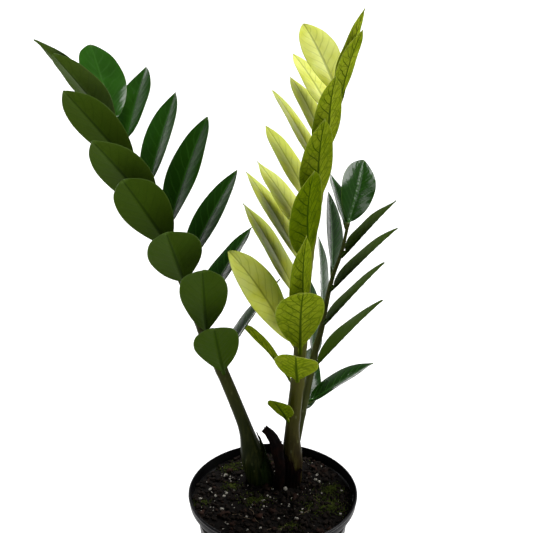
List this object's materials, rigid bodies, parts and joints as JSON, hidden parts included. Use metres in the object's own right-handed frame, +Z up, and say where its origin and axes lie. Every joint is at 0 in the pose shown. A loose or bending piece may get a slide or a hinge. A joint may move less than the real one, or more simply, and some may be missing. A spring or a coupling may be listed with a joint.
{
  "type": "potted zz plant",
  "caption": "Potted zz plant: upright stalks with paired rows of pointed leaflets, one stalk young and yellow-green, in dark soil in a round black nursery pot.",
  "frame": {"origin": "middle of the underside of the pot's base, on the surface that the pot stands on", "axes": "+Z up along the pot's axis; -Y is the front, the side that the picture was taken from; +X to the viewer's right"},
  "size_m": [0.2339, 0.1734, 0.4366],
  "materials": {
    "old_leaf": "gloss",
    "young_leaf": "satin",
    "old_stalk": "satin",
    "young_stalk": "satin",
    "dry_scale": "matte",
    "rhizome": "matte",
    "soil": "matte",
    "pot": "satin"
  },
  "bodies": {
    "root": {"dry_stub": "dry_scale", "left_back_leaflet_1": "old_leaf", "left_back_leaflet_2": "old_leaf", "left_back_leaflet_3": "old_leaf", "left_back_leaflet_4": "old_leaf", "left_back_leaflet_5": "old_leaf", "left_back_leaflet_6": "old_leaf", "left_back_leaflet_7": "old_leaf", "left_front_leaflet_1": "old_leaf", "left_front_leaflet_2": "old_leaf", "left_front_leaflet_3": "old_leaf", "left_front_leaflet_4": "old_leaf", "left_front_leaflet_5": "old_leaf", "left_front_leaflet_6": "old_leaf", "left_front_leaflet_7": "old_leaf", "left_front_leaflet_8": "old_leaf", "left_rhizome": "rhizome", "left_sheath": "dry_scale", "left_stalk": "old_stalk", "pot": "pot", "right_back_leaflet_1": "old_leaf", "right_back_leaflet_2": "old_leaf", "right_back_leaflet_3": "old_leaf", "right_back_leaflet_4": "old_leaf", "right_back_leaflet_5": "old_leaf", "right_front_leaflet_1": "old_leaf", "right_front_leaflet_2": "old_leaf", "right_front_leaflet_3": "old_leaf", "right_front_leaflet_4": "old_leaf", "right_front_leaflet_5": "old_leaf", "right_front_leaflet_6": "old_leaf", "right_rhizome": "rhizome", "right_stalk": "old_stalk", "soil": "soil", "young_back_leaflet_1": "young_leaf", "young_back_leaflet_10": "young_leaf", "young_back_leaflet_11": "young_leaf", "young_back_leaflet_2": "young_leaf", "young_back_leaflet_3": "young_leaf", "young_back_leaflet_4": "young_leaf", "young_back_leaflet_5": "young_leaf", "young_back_leaflet_6": "young_leaf", "young_back_leaflet_7": "young_leaf", "young_back_leaflet_8": "young_leaf", "young_back_leaflet_9": "young_leaf", "young_front_leaflet_1": "young_leaf", "young_front_leaflet_2": "young_leaf", "young_front_leaflet_3": "young_leaf", "young_front_leaflet_4": "young_leaf", "young_front_leaflet_5": "young_leaf", "young_front_leaflet_6": "young_leaf", "young_front_leaflet_7": "young_leaf", "young_front_leaflet_8": "young_leaf", "young_sheath": "dry_scale", "young_stalk": "young_stalk"}
  },
  "joints": []
}
